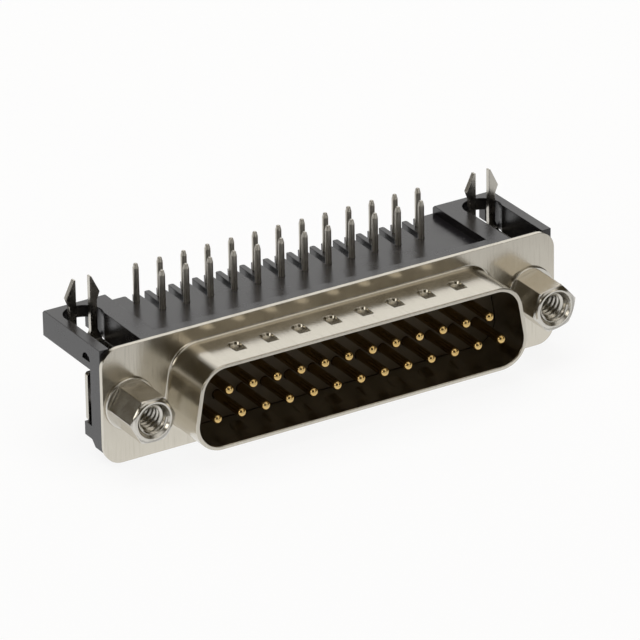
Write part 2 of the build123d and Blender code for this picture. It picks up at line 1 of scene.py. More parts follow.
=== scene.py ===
# %% [markdown]
# # A right-angle D-shaped connector plug for a circuit board
# The object is a small connector: a drawn and plated sheet shell, a black moulded insulator
# with 25 gold-tipped contacts, a black bracket behind it, two hexagonal screwlocks in front
# and two forked board locks. Its solids are already made to size. This lesson loads them as
# they are, gives each one the finish of the real material, and adds the small things that
# are too fine for the solids: screw threads and moulded contact numbers.

# %% Load the solids
import bpy
import math
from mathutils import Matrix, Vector


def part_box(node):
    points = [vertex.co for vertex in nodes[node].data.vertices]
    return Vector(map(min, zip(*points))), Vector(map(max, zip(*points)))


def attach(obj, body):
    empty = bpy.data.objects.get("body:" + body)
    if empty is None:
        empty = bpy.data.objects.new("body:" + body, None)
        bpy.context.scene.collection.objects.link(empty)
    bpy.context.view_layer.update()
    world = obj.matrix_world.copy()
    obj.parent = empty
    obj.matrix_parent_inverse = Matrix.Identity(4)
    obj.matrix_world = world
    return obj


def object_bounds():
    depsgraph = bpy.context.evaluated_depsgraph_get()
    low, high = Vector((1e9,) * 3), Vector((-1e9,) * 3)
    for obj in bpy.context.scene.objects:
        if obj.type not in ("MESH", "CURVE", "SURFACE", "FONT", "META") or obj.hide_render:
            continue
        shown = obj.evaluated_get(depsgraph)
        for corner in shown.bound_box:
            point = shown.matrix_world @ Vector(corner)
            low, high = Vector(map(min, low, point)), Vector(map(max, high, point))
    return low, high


MM = 0.001                    # the scene is in metres, and most sizes here are in millimetres
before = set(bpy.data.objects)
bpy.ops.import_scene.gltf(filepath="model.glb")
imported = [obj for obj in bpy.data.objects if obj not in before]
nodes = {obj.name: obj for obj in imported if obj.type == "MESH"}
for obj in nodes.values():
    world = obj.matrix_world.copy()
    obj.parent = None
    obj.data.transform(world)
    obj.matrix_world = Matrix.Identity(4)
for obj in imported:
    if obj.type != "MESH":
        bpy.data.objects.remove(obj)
cad_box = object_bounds()
print("solids:", len(nodes))
print("box in mm:", [[round(value / MM, 2) for value in corner] for corner in cad_box])

# %% [markdown]
# ## Camera
# The picture was taken from above and to the left with a long lens, so that parallel edges
# stay almost parallel. The place and the angles come from fitting a pinhole camera to the
# corners of the flange, the screwlocks and the tails. A long lens far away is better here
# than an orthographic view, because the slight narrowing to the rear is visible.

# %% Camera
camera_data = bpy.data.cameras.new("long_lens")
camera_data.sensor_width = 36.0       # mm
camera_data.lens = 358.62             # mm
camera_data.clip_start = 0.01
camera_data.clip_end = 20.0
camera = bpy.data.objects.new("camera", camera_data)
camera.location = (-0.29774, -0.49402, 0.27671)
camera.rotation_euler = [math.radians(angle) for angle in (64.607, 0.890, -31.376)]
bpy.context.scene.collection.objects.link(camera)
bpy.context.scene.camera = camera
bpy.context.scene.view_settings.view_transform = "Standard"
print("camera distance in mm:", round(camera.location.length / MM))

# %% [markdown]
# ## Colours and node trees
# Colours are read off as sRGB hex values, but shaders add up light in linear values, so one
# function turns one into the other. A second small function adds a node with its settings
# and links, which keeps each material short enough to read as a list of what it is made of.
# A Mix node has a pair of inputs for each kind of value and tells them apart by number
# alone, so those numbers get names here.

# %% Colours and nodes
SHARE, A_NUMBER, B_NUMBER, A_VECTOR, B_VECTOR, A_COLOUR, B_COLOUR = 0, 2, 3, 4, 5, 6, 7
MIXED_NUMBER, MIXED_VECTOR, MIXED_COLOUR = 0, 1, 2


def linear(hex_code):
    """sRGB hex to the linear red, green, blue and alpha that a shader socket takes."""
    channels = [int(hex_code[place:place + 2], 16) / 255 for place in (1, 3, 5)]
    return tuple(c / 12.92 if c <= 0.04045 else ((c + 0.055) / 1.055) ** 2.4
                 for c in channels) + (1.0,)


def add(tree, kind, inputs=None, **settings):
    """Adds a node: settings are its properties, inputs its sockets' values or links."""
    made = tree.nodes.new(kind)
    for name, value in settings.items():
        setattr(made, name, value)
    for name, value in (inputs or {}).items():
        if isinstance(value, bpy.types.NodeSocket):
            tree.links.new(value, made.inputs[name])
        else:
            made.inputs[name].default_value = value
    return made


def across(size_mm):
    """Texture scale at which one grain is this many millimetres."""
    return 1.0 / (size_mm * MM)


def blank(name):
    """A material with an empty node tree, and that tree."""
    material = bpy.data.materials.new(name)
    material.use_nodes = True
    material.node_tree.nodes.clear()
    return material, material.node_tree


print("mid grey in linear light:", [round(value, 3) for value in linear("#808080")])

# %% [markdown]
# ## Surroundings
# Small metal parts show their surroundings more than their own colour. The object stands in
# a dim, brownish room with a pale ceiling. The room could be a painted picture wrapped round
# the scene, but a few nodes that read the direction of a ray do the same and can be changed
# one by one. They work in the world's own directions, so the room stays put when the camera
# moves round the object.

# %% The room
CEILING_EDGE = 0.7            # upward part of a ray's direction, here 44 degrees of rise
world = bpy.data.worlds.new("studio_room")
bpy.context.scene.world = world
world.use_nodes = True
room = world.node_tree
room.nodes.clear()
direction = add(room, "ShaderNodeTexCoord").outputs["Generated"]
height = add(room, "ShaderNodeSeparateXYZ", {"Vector": direction}).outputs["Z"]
towards_ceiling = add(room, "ShaderNodeMapRange",
                      {"Value": height, "From Min": CEILING_EDGE, "From Max": 1.0},
                      interpolation_type="SMOOTHSTEP").outputs["Result"]
room_colour = add(room, "ShaderNodeMix",
                  {SHARE: towards_ceiling, A_COLOUR: linear("#3a3324"),
                   B_COLOUR: linear("#e4e2de")}, data_type="RGBA").outputs[MIXED_COLOUR]
print("room:", world.name)

# %% [markdown]
# ## Soft boxes
# A large patch of light behind the object to the right lights every face that looks up, and
# a smaller one high in front is what the flange picks up. Two small bright ones, in front and
# to the left, give each pin its pair of glints and reach into the shroud. A faint one lifts
# the faces that look to the rear left. All could be lamps, but a lamp's hard edge would show
# as a line on the flat sheet, and a patch in the world can fade out.

# %% Soft boxes
def soft_box(behind, azimuth, elevation, core, reach, hex_code, level):
    """Puts a round patch of light over a colour. Degrees, azimuth from +Y towards +X."""
    turn, rise = math.radians(azimuth), math.radians(elevation)
    aim = (math.sin(turn) * math.cos(rise), math.cos(turn) * math.cos(rise), math.sin(rise))
    nearness = add(room, "ShaderNodeVectorMath", {0: direction, 1: aim},
                   operation="DOT_PRODUCT").outputs["Value"]
    lit_share = add(room, "ShaderNodeMapRange",
                    {"Value": nearness, "From Min": math.cos(math.radians(reach)),
                     "From Max": math.cos(math.radians(core))},
                    interpolation_type="SMOOTHSTEP").outputs["Result"]
    light = tuple(level * channel for channel in linear(hex_code)[:3]) + (1.0,)
    return add(room, "ShaderNodeMix", {SHARE: lit_share, A_COLOUR: behind, B_COLOUR: light},
               data_type="RGBA").outputs[MIXED_COLOUR]


SOFT_BOXES = (                # place, azimuth, elevation, core, reach, colour, level
    ("behind to the right", 32, 30, 18, 34, "#fffefc", 1.05),
    ("high in front", 152, 46, 8, 23, "#fff8ec", 1.0),
    ("faint, behind to the left", 316, 13, 4, 20, "#4f493d", 1.0),
    ("small, low in front", 170, 18, 5, 10, "#fffaf0", 2.2),
    ("small, to the left", 258, 25, 8, 14, "#fffaf0", 2.2))
for where, *values in SOFT_BOXES:
    room_colour = soft_box(room_colour, *values)
    print("soft box:", where, values)

# %% [markdown]
# ## Far wall
# The table ends somewhere, and just above its end the camera and the metal would see the dim
# room as a dark band. A sheet of paper that curves up behind the table is the usual answer.
# Here the room itself turns pale close to the horizon, which does the same without a mesh.

# %% Far wall
WALL_FULL, WALL_GONE = 0.055, 0.085   # upward part of the direction, 3 and 5 degrees of rise
wall_share = add(room, "ShaderNodeMapRange",
                 {"Value": height, "From Min": WALL_FULL, "From Max": WALL_GONE,
                  "To Min": 1.0, "To Max": 0.0}).outputs["Result"]
with_wall = add(room, "ShaderNodeMix",
                {SHARE: wall_share, A_COLOUR: room_colour, B_COLOUR: linear("#fafafa")},
                data_type="RGBA").outputs[MIXED_COLOUR]
background = add(room, "ShaderNodeBackground", {"Color": with_wall, "Strength": 1.0})
add(room, "ShaderNodeOutputWorld", {"Surface": background.outputs["Background"]})
print("nodes in the room:", len(room.nodes))

# %% [markdown]
# ## White table
# The connector stands on a white sheet that runs into the white background. White paint alone
# renders as pale grey, and enough light to bleach it would wash out the object too. So the
# camera sees mostly a plain white glow, mixed with a little of the lit paint, which keeps the
# soft shadow. Metal and glossy plastic mirror the sheet, so their rays see the glow as well.
# For them it is dimmer towards the front. That is matched to the tone of the flange, which
# mirrors the sheet in front of it.

# %% White table
TABLE_SIZE = 6.0              # metres
floor_height = cad_box[0][2]
bpy.ops.mesh.primitive_plane_add(size=TABLE_SIZE, location=(0.0, 0.0, floor_height))
table = bpy.context.object
table.name = "table"
print("table at height in mm:", round(floor_height / MM, 2))

# %% Table paint
LAMINATE_GRAIN = 4.0          # mm
CAMERA_GLOW, MIRROR_GLOW = 0.88, 0.94         # share of the glow that each kind of ray sees
FRONT_LEVEL, MIDDLE_LEVEL = 0.58, 0.97        # its level in reflections
FALL_OFF = 30.0               # mm, from the middle to where the front level is reached
table_paint, tree = blank("white_laminate")
grain = add(tree, "ShaderNodeTexNoise",
            {"Scale": across(LAMINATE_GRAIN), "Detail": 2.0}).outputs["Fac"]
paint = add(tree, "ShaderNodeMix",
            {SHARE: grain, A_COLOUR: linear("#f8f8f7"), B_COLOUR: linear("#fdfdfd")},
            data_type="RGBA").outputs[MIXED_COLOUR]
lit = add(tree, "ShaderNodeBsdfDiffuse", {"Color": paint, "Roughness": 0.6}).outputs["BSDF"]
place = add(tree, "ShaderNodeTexCoord").outputs["Object"]
depth = add(tree, "ShaderNodeSeparateXYZ", {"Vector": place}).outputs["Y"]
dimmed = add(tree, "ShaderNodeMapRange",
             {"Value": depth, "From Min": -FALL_OFF * MM, "From Max": 0.0,
              "To Min": FRONT_LEVEL, "To Max": MIDDLE_LEVEL}).outputs["Result"]
path = add(tree, "ShaderNodeLightPath")
seen_by_camera = path.outputs["Is Camera Ray"]
level = add(tree, "ShaderNodeMix",
            {SHARE: seen_by_camera, A_NUMBER: dimmed, B_NUMBER: 1.0}).outputs[MIXED_NUMBER]
glow = add(tree, "ShaderNodeEmission",
           {"Color": linear("#ffffff"), "Strength": level}).outputs["Emission"]
seen_in_mirror = add(tree, "ShaderNodeMath",
                     {0: path.outputs["Is Glossy Ray"], 1: path.outputs["Is Transmission Ray"]},
                     operation="MAXIMUM").outputs["Value"]
mirror_share = add(tree, "ShaderNodeMath", {0: seen_in_mirror, 1: MIRROR_GLOW},
                   operation="MULTIPLY").outputs["Value"]
camera_share = add(tree, "ShaderNodeMath", {0: seen_by_camera, 1: CAMERA_GLOW},
                   operation="MULTIPLY").outputs["Value"]
glow_share = add(tree, "ShaderNodeMath", {0: camera_share, 1: mirror_share},
                 operation="MAXIMUM").outputs["Value"]
shown = add(tree, "ShaderNodeMixShader", {0: glow_share, 1: lit, 2: glow}).outputs["Shader"]
add(tree, "ShaderNodeOutputMaterial", {"Surface": shown})
table.data.materials.append(table_paint)
print("table paint:", table_paint.name, "with", len(tree.nodes), "nodes")

# %% [markdown]
# ## Soft panel overhead
# One large lamp above and a little behind the object lights the black mouldings from above
# and gives the table its soft shadow. It could be one more patch in the world, but a lamp at
# arm's length gives a shadow that fades as it leaves the object. It is hidden from
# reflections: flat metal shows the room's pale ceiling in its place, which never clips.

# %% Soft panel overhead
PANEL_PLACE = Vector((0.0, 0.2, 0.8))         # metres
panel_light = bpy.data.lights.new("panel_above", "AREA")
panel_light.shape = "RECTANGLE"
panel_light.size = 0.9        # metres along X
panel_light.size_y = 0.6      # metres
panel_light.energy = 4.5      # watts
panel = bpy.data.objects.new("panel_above", panel_light)
panel.location = PANEL_PLACE
towards_object = Vector((0.0, 0.0, 0.0)) - PANEL_PLACE
panel.rotation_euler = towards_object.to_track_quat("-Z", "Y").to_euler()
panel.visible_glossy = False
bpy.context.scene.collection.objects.link(panel)
print("soft panel:", panel.name, "at", [round(value, 2) for value in panel.location], "m")

# %% [markdown]
# ## Edges that catch the light
# No real edge is perfectly sharp: a sheared sheet rolls over a little, and a mould is never
# filled to a point. The solids have sharp edges, so each would be a bare line. The edge
# could be cut into the mesh, but a bevelled normal does it in the light alone, and leaves the
# solids as they are. One real piece is kept here as several solids that meet flush, and on
# those seams the rounding is turned off, so that no groove shows where there is none.

# %% Rounded edges
def rounded_edges(tree, radius_mm, seams=()):
    """Normal that rolls over each edge. Seams are (axis, mm from the middle to the seam)."""
    radius = radius_mm * MM
    rounded = add(tree, "ShaderNodeBevel", {"Radius": radius}, samples=6).outputs["Normal"]
    if not seams:
        return rounded
    place = add(tree, "ShaderNodeTexCoord").outputs["Object"]
    distance = add(tree, "ShaderNodeVectorMath", {0: place},
                   operation="ABSOLUTE").outputs["Vector"]
    parts = add(tree, "ShaderNodeSeparateXYZ", {"Vector": distance})
    kept = 1.0
    for axis, plane_mm in seams:
        gap = add(tree, "ShaderNodeMath", {0: parts.outputs[axis], 1: plane_mm * MM},
                  operation="SUBTRACT").outputs["Value"]
        size = add(tree, "ShaderNodeMath", {0: gap}, operation="ABSOLUTE").outputs["Value"]
        clear = add(tree, "ShaderNodeMapRange",
                    {"Value": size, "From Min": radius,
                     "From Max": 1.5 * radius}).outputs["Result"]
        kept = add(tree, "ShaderNodeMath", {0: clear, 1: kept},
                   operation="MULTIPLY").outputs["Value"]
    flat = add(tree, "ShaderNodeNewGeometry").outputs["Normal"]
    return add(tree, "ShaderNodeMix", {SHARE: kept, A_VECTOR: flat, B_VECTOR: rounded},
               data_type="VECTOR").outputs[MIXED_VECTOR]


def finish_node(name, material):
    """Gives a solid its finish, in place of the plain one that it came with."""
    data = nodes[name].data
    data.materials.clear()
    data.materials.append(material)


print("solids that wait for a finish:", len(nodes))

# %% [markdown]
# ## Tin-plated steel of the shell
# The flange and the D-shaped shroud are one sheet of steel, deep drawn in a press and then
# plated with bright tin. Plating gives a slightly warm, pale metal. Rolling and drawing leave
# fine streaks, upright on the flange and front to back along the shroud, and the satin
# underneath blurs each reflection a little. The streaks on the real sheet are a few
# hundredths of a millimetre wide. That is too fine to show, so the widest are 0.2 mm here.

# %% Tin plate: patterns
CLOUD, STREAK, PIT = 3.5, 0.22, 0.25          # mm, one grain of each pattern
STREAK_SQUEEZE = 0.05         # makes a streak 20 times as long as it is wide
tin_plate, tree = blank("bright_tin_plate_over_drawn_steel")
place = add(tree, "ShaderNodeTexCoord").outputs["Object"]
clouds = add(tree, "ShaderNodeTexNoise", {"Vector": place, "Scale": across(CLOUD),
                                          "Detail": 4.0, "Roughness": 0.55}).outputs["Fac"]
drawn_space = add(tree, "ShaderNodeMapping",
                  {"Vector": place,
                   "Scale": (1.0, STREAK_SQUEEZE, STREAK_SQUEEZE)}).outputs["Vector"]
streaks = add(tree, "ShaderNodeTexNoise", {"Vector": drawn_space, "Scale": across(STREAK),
                                           "Detail": 3.0, "Roughness": 0.65}).outputs["Fac"]
pits = add(tree, "ShaderNodeTexNoise", {"Vector": place, "Scale": across(PIT),
                                        "Detail": 3.0, "Roughness": 0.7}).outputs["Fac"]
print("patterns of the sheet in mm:", CLOUD, STREAK, PIT)

# %% Tin plate: surface
tone = add(tree, "ShaderNodeMix",
           {SHARE: clouds, A_COLOUR: linear("#cbc5b8"), B_COLOUR: linear("#dad5c9")},
           data_type="RGBA").outputs[MIXED_COLOUR]
dull_share = add(tree, "ShaderNodeMapRange",
                 {"Value": streaks, "From Min": 0.5, "From Max": 0.85,
                  "To Min": 0.0, "To Max": 0.3}).outputs["Result"]
streaked = add(tree, "ShaderNodeMix",
               {SHARE: dull_share, A_COLOUR: tone, B_COLOUR: linear("#9c958a")},
               data_type="RGBA").outputs[MIXED_COLOUR]
blur = add(tree, "ShaderNodeMapRange",
           {"Value": clouds, "From Min": 0.3, "From Max": 0.7,
            "To Min": 0.16, "To Max": 0.25}).outputs["Result"]
edges = rounded_edges(tree, radius_mm=0.09, seams=(("X", 20.48), ("Y", 0.3)))
pitted = add(tree, "ShaderNodeBump", {"Height": pits, "Strength": 0.3, "Distance": 0.01 * MM,
                                      "Normal": edges}).outputs["Normal"]
relief = add(tree, "ShaderNodeBump", {"Height": streaks, "Strength": 0.6, "Distance": 0.01 * MM,
                                      "Normal": pitted}).outputs["Normal"]
surface = add(tree, "ShaderNodeBsdfPrincipled",
              {"Base Color": streaked, "Metallic": 1.0, "Roughness": blur, "Normal": relief})
add(tree, "ShaderNodeOutputMaterial", {"Surface": surface.outputs["BSDF"]})
for name in ("shell_shroud", "shell_flange", "shell_ear_left", "shell_ear_right"):
    finish_node(name, tin_plate)
print("shell:", tin_plate.name)

# %% [markdown]
# ## Black moulding of the bracket
# The bracket is injection moulded in glass-filled black polyester. The plastic itself gives
# back hardly any light, so what the eye sees is the gloss. The mould is polished, and the
# glass fibres leave the skin slightly uneven, which breaks up each highlight. Such a plastic
# has an index of about 1.57. It is set higher here, to reach the sheen of the bracket's top.
# Fibres are about 0.01 mm thick, too fine to show, so the unevenness is 0.2 mm wide.

# %% Moulded bracket
FLOW, FIBRE = 2.2, 0.2        # mm, one grain of each pattern
bracket_skin, tree = blank("glossy_black_glass_filled_polyester")
place = add(tree, "ShaderNodeTexCoord").outputs["Object"]
flow = add(tree, "ShaderNodeTexNoise", {"Vector": place, "Scale": across(FLOW),
                                        "Detail": 3.0}).outputs["Fac"]
fibres = add(tree, "ShaderNodeTexNoise", {"Vector": place, "Scale": across(FIBRE),
                                          "Detail": 4.0, "Roughness": 0.65}).outputs["Fac"]
shade = add(tree, "ShaderNodeMix",
            {SHARE: flow, A_COLOUR: linear("#181719"), B_COLOUR: linear("#212023")},
            data_type="RGBA").outputs[MIXED_COLOUR]
mottle = add(tree, "ShaderNodeMix",
             {SHARE: 0.5, A_NUMBER: flow, B_NUMBER: fibres}).outputs[MIXED_NUMBER]
blur = add(tree, "ShaderNodeMapRange",
           {"Value": mottle, "From Min": 0.35, "From Max": 0.65,
            "To Min": 0.17, "To Max": 0.29}).outputs["Result"]
edges = rounded_edges(tree, radius_mm=0.1, seams=(("X", 18.35), ("Y", 2.5), ("Z", 2.875)))
relief = add(tree, "ShaderNodeBump", {"Height": fibres, "Strength": 0.3, "Distance": 0.02 * MM,
                                      "Normal": edges}).outputs["Normal"]
surface = add(tree, "ShaderNodeBsdfPrincipled",
              {"Base Color": shade, "IOR": 1.62, "Roughness": blur, "Normal": relief})
add(tree, "ShaderNodeOutputMaterial", {"Surface": surface.outputs["BSDF"]})
bracket_names = [name for name in nodes if name.startswith("bracket")]
for name in bracket_names:
    finish_node(name, bracket_skin)
print("bracket:", bracket_skin.name, "on", len(bracket_names), "solids")

# %% [markdown]
# ## Black moulding of the insulator
# The insulator holds the contacts and fills the back of the shroud. It is the same plastic,
# but it looks dull, as from a mould with a fine spark-eroded texture. So it is rougher and
# mirrors less, which one setting of the shader turns down. With so little gloss the plastic's
# own tone shows, a dark brown. Both are matched to how dark the shroud's inside looks.

# %% Moulded insulator
SPARK_TEXTURE = 0.15          # mm, several times coarser than a real one, so that it shows
insulator_skin, tree = blank("satin_black_glass_filled_polyester")
place = add(tree, "ShaderNodeTexCoord").outputs["Object"]
texture = add(tree, "ShaderNodeTexNoise", {"Vector": place, "Scale": across(SPARK_TEXTURE),
                                           "Detail": 4.0, "Roughness": 0.7}).outputs["Fac"]
shade = add(tree, "ShaderNodeMix",
            {SHARE: texture, A_COLOUR: linear("#3e3527"), B_COLOUR: linear("#4c4231")},
            data_type="RGBA").outputs[MIXED_COLOUR]
blur = add(tree, "ShaderNodeMapRange",
           {"Value": texture, "From Min": 0.3, "From Max": 0.7,
            "To Min": 0.4, "To Max": 0.55}).outputs["Result"]
edges = rounded_edges(tree, radius_mm=0.08)
relief = add(tree, "ShaderNodeBump", {"Height": texture, "Strength": 0.35,
                                      "Distance": 0.03 * MM, "Normal": edges}).outputs["Normal"]
surface = add(tree, "ShaderNodeBsdfPrincipled",
              {"Base Color": shade, "IOR": 1.57, "Specular IOR Level": 0.2,
               "Roughness": blur, "Normal": relief})
add(tree, "ShaderNodeOutputMaterial", {"Surface": surface.outputs["BSDF"]})
finish_node("insulator_front", insulator_skin)
finish_node("insulator_rear", insulator_skin)
print("insulator:", insulator_skin.name)

# %% [markdown]
# ## Contacts: gold in front, tin behind
# Each contact is one turned and drawn piece of brass. Its mating end is gold plated, so that
# it stays clean, and its tail is tinned, so that it takes solder. One material holds both
# finishes and changes from one to the other inside the insulator, where nobody sees it.
# The tips shine like gold, but the shafts look dark, as they stand in the shade of the shroud.
# It is a guess, as the dark shroud round them may do as much.
# That shade is painted: behind the bright tip the shaft gets a duller, darker gold.
# Plating over drawn wire is smooth, so there is no relief.

# %% Gold and tin: where each finish lies, and where the shade is painted
BRIGHT_TIP = 0.45             # mm, most of the rounded end
TIP_BLEND = 0.2               # mm, over which the bright gold turns into the painted shade of the shaft
TIN_FROM, TIN_FULL = 0.6, 1.2         # mm behind the flange's face
WIRE_SMUDGE = 0.5             # mm
TIP_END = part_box("contact_01")[0][1] + BRIGHT_TIP * MM
contact_plating, tree = blank("brass_wire_gold_plated_front_tinned_tail")
place = add(tree, "ShaderNodeTexCoord").outputs["Object"]
depth = add(tree, "ShaderNodeSeparateXYZ", {"Vector": place}).outputs["Y"]
shaft_painted_shade = add(tree, "ShaderNodeMapRange",
               {"Value": depth, "From Min": TIP_END,
                "From Max": TIP_END + TIP_BLEND * MM}).outputs["Result"]
behind = add(tree, "ShaderNodeMapRange",
             {"Value": depth, "From Min": TIN_FROM * MM,
              "From Max": TIN_FULL * MM}).outputs["Result"]
smudge = add(tree, "ShaderNodeTexNoise", {"Vector": place, "Scale": across(WIRE_SMUDGE),
                                          "Detail": 3.0}).outputs["Fac"]
print("bright tips end at depth in mm:", round(TIP_END / MM, 2))

# %% Gold and tin: surface
gold = add(tree, "ShaderNodeMix",
           {SHARE: smudge, A_COLOUR: linear("#dbb469"), B_COLOUR: linear("#ecd096")},
           data_type="RGBA").outputs[MIXED_COLOUR]
tin = add(tree, "ShaderNodeMix",
          {SHARE: smudge, A_COLOUR: linear("#c6c2b9"), B_COLOUR: linear("#dad6cd")},
          data_type="RGBA").outputs[MIXED_COLOUR]
# behind the bright tip the shaft gets a duller gold, which is painted shade from the shroud
# round it
front = add(tree, "ShaderNodeMix",
            {SHARE: shaft_painted_shade, A_COLOUR: gold, B_COLOUR: linear("#ab9164")},
            data_type="RGBA").outputs[MIXED_COLOUR]
plating = add(tree, "ShaderNodeMix", {SHARE: behind, A_COLOUR: front, B_COLOUR: tin},
              data_type="RGBA").outputs[MIXED_COLOUR]
front_blur = add(tree, "ShaderNodeMapRange",
                 {"Value": smudge, "From Min": 0.3, "From Max": 0.7,
                  "To Min": 0.16, "To Max": 0.26}).outputs["Result"]
tail_blur = add(tree, "ShaderNodeMapRange",
                {"Value": smudge, "From Min": 0.3, "From Max": 0.7,
                 "To Min": 0.32, "To Max": 0.44}).outputs["Result"]
blur = add(tree, "ShaderNodeMix",
           {SHARE: behind, A_NUMBER: front_blur, B_NUMBER: tail_blur}).outputs[MIXED_NUMBER]
surface = add(tree, "ShaderNodeBsdfPrincipled",
              {"Base Color": plating, "Metallic": 1.0, "Roughness": blur})
add(tree, "ShaderNodeOutputMaterial", {"Surface": surface.outputs["BSDF"]})
contact_names = sorted(name for name in nodes if name.startswith("contact"))
for name in contact_names:
    finish_node(name, contact_plating)
print("contacts:", contact_plating.name, "on", len(contact_names), "solids")

# %% [markdown]
# ## Bright nickel of the turned hardware
# Screwlocks, washers and inserts are turned from bar, tumbled and nickel plated. Tumbling
# leaves a fine grain on the flats and rounds the edges. The shank behind the flange is
# threaded, 0.635 mm from turn to turn. At this size a helix can't be told from rings, so a
# wave of that length in the relief stands for the turns. The corners of the hexagon are
# turned off in front. The solids have a small bevel there, and a slope in the relief outside
# the mouth's rim makes the light fall as on a wider one.

# %% Nickel: tone and grain
BAR_SMUDGE, GRIT = 1.2, 0.15  # mm, one grain of each pattern
nickel, tree = blank("bright_nickel_over_tumbled_brass")
place = add(tree, "ShaderNodeTexCoord").outputs["Object"]
smudge = add(tree, "ShaderNodeTexNoise", {"Vector": place, "Scale": across(BAR_SMUDGE),
                                          "Detail": 3.0}).outputs["Fac"]
grit = add(tree, "ShaderNodeTexNoise", {"Vector": place, "Scale": across(GRIT),
                                        "Detail": 3.0, "Roughness": 0.7}).outputs["Fac"]
tone = add(tree, "ShaderNodeMix",
           {SHARE: smudge, A_COLOUR: linear("#d2cec5"), B_COLOUR: linear("#dfdcd4")},
           data_type="RGBA").outputs[MIXED_COLOUR]
blur = add(tree, "ShaderNodeMapRange",
           {"Value": smudge, "From Min": 0.3, "From Max": 0.7,
            "To Min": 0.16, "To Max": 0.24}).outputs["Result"]
print("patterns of the hardware in mm:", BAR_SMUDGE, GRIT)

# %% Nickel: turns of the shank
THREAD_PITCH = 0.635          # mm, from turn to turn
SHANK_FROM, SHANK_FULL = 4.2, 4.5             # mm behind the flange's face
# A wave texture repeats every 0.1 pi, measured in its scaled space
WAVE_SCALE = 0.1 * math.pi / (THREAD_PITCH * MM)
depth = add(tree, "ShaderNodeSeparateXYZ", {"Vector": place}).outputs["Y"]
rings = add(tree, "ShaderNodeTexWave", {"Vector": place, "Scale": WAVE_SCALE},
            bands_direction="Y").outputs["Fac"]
on_shank = add(tree, "ShaderNodeMapRange",
               {"Value": depth, "From Min": SHANK_FROM * MM,
                "From Max": SHANK_FULL * MM}).outputs["Result"]
turns = add(tree, "ShaderNodeMath", {0: rings, 1: on_shank},
            operation="MULTIPLY").outputs["Value"]
print("wave scale for the turns:", round(WAVE_SCALE, 1))

# %% Nickel: turned-off corners
SCREW_X = 23.52               # mm, from the middle to each screwlock's axis
MOUTH_FACE = -4.9             # mm, front face of the screwlocks
SLOPE_FROM, SLOPE_TO = 2.02, 2.62             # mm from the axis, past the rim to the corner
CUT_FULL, CUT_GONE = 0.1, 0.35                # mm behind the mouth's face
mirrored = add(tree, "ShaderNodeVectorMath", {0: place}, operation="ABSOLUTE").outputs["Vector"]
centred = add(tree, "ShaderNodeVectorMath", {0: mirrored, 1: (SCREW_X * MM, 0.0, 0.0)},
              operation="SUBTRACT").outputs["Vector"]
flattened = add(tree, "ShaderNodeVectorMath", {0: centred, 1: (1.0, 0.0, 1.0)},
                operation="MULTIPLY").outputs["Vector"]
radius = add(tree, "ShaderNodeVectorMath", {0: flattened}, operation="LENGTH").outputs["Value"]
slope = add(tree, "ShaderNodeMapRange",
            {"Value": radius, "From Min": SLOPE_FROM * MM,
             "From Max": SLOPE_TO * MM}).outputs["Result"]
at_mouth = add(tree, "ShaderNodeMapRange",
               {"Value": depth, "From Min": (MOUTH_FACE + CUT_FULL) * MM,
                "From Max": (MOUTH_FACE + CUT_GONE) * MM,
                "To Min": 1.0, "To Max": 0.0}).outputs["Result"]
cut = add(tree, "ShaderNodeMath", {0: slope, 1: at_mouth}, operation="MULTIPLY").outputs["Value"]
print("corners turned off over mm:", round(SLOPE_TO - SLOPE_FROM, 2))

# %% Nickel: surface
edges = rounded_edges(tree, radius_mm=0.12)
corners_off = add(tree, "ShaderNodeBump", {"Height": cut, "Strength": 1.0, "Distance": 0.4 * MM,
                                           "Normal": edges}, invert=True).outputs["Normal"]
grained = add(tree, "ShaderNodeBump", {"Height": grit, "Strength": 0.6, "Distance": 0.01 * MM,
                                       "Normal": corners_off}).outputs["Normal"]
relief = add(tree, "ShaderNodeBump", {"Height": turns, "Strength": 0.8, "Distance": 0.2 * MM,
                                      "Normal": grained}).outputs["Normal"]
surface = add(tree, "ShaderNodeBsdfPrincipled",
              {"Base Color": tone, "Metallic": 1.0, "Roughness": blur, "Normal": relief})
add(tree, "ShaderNodeOutputMaterial", {"Surface": surface.outputs["BSDF"]})
for side in ("left", "right"):
    for piece in ("screwlock", "washer", "insert"):
        finish_node(f"{piece}_{side}", nickel)
print("turned hardware:", nickel.name)

# %% [markdown]
# ## Tinned strip of the board locks
# Each board lock and its earthing tab is blanked and folded from one strip of spring brass and
# tinned, so that it takes solder. It could share the shell's finish, but it looks greyer and a
# little duller, and streaks would hardly show on such small pieces. So smudges and handling
# marks are all that varies. Real marks are a few hundredths of a millimetre wide, too fine to
# show, so they are 0.15 mm here.

# %% Tinned strip
STRIP_SMUDGE, STRIP_MARK = 1.0, 0.15          # mm, one grain of each pattern
tinned_strip, tree = blank("bright_tinned_spring_brass_strip")
place = add(tree, "ShaderNodeTexCoord").outputs["Object"]
smudge = add(tree, "ShaderNodeTexNoise", {"Vector": place, "Scale": across(STRIP_SMUDGE),
                                          "Detail": 3.0}).outputs["Fac"]
tone = add(tree, "ShaderNodeMix",
           {SHARE: smudge, A_COLOUR: linear("#bcb8af"), B_COLOUR: linear("#d0ccc3")},
           data_type="RGBA").outputs[MIXED_COLOUR]
blur = add(tree, "ShaderNodeMapRange",
           {"Value": smudge, "From Min": 0.3, "From Max": 0.7,
            "To Min": 0.18, "To Max": 0.3}).outputs["Result"]
marks = add(tree, "ShaderNodeTexNoise", {"Vector": place, "Scale": across(STRIP_MARK),
                                         "Detail": 2.0}).outputs["Fac"]
edges = rounded_edges(tree, radius_mm=0.08, seams=(("Y", 4.0),))
relief = add(tree, "ShaderNodeBump", {"Height": marks, "Strength": 0.25, "Distance": 0.01 * MM,
                                      "Normal": edges}).outputs["Normal"]
surface = add(tree, "ShaderNodeBsdfPrincipled",
              {"Base Color": tone, "Metallic": 1.0, "Roughness": blur, "Normal": relief})
add(tree, "ShaderNodeOutputMaterial", {"Surface": surface.outputs["BSDF"]})
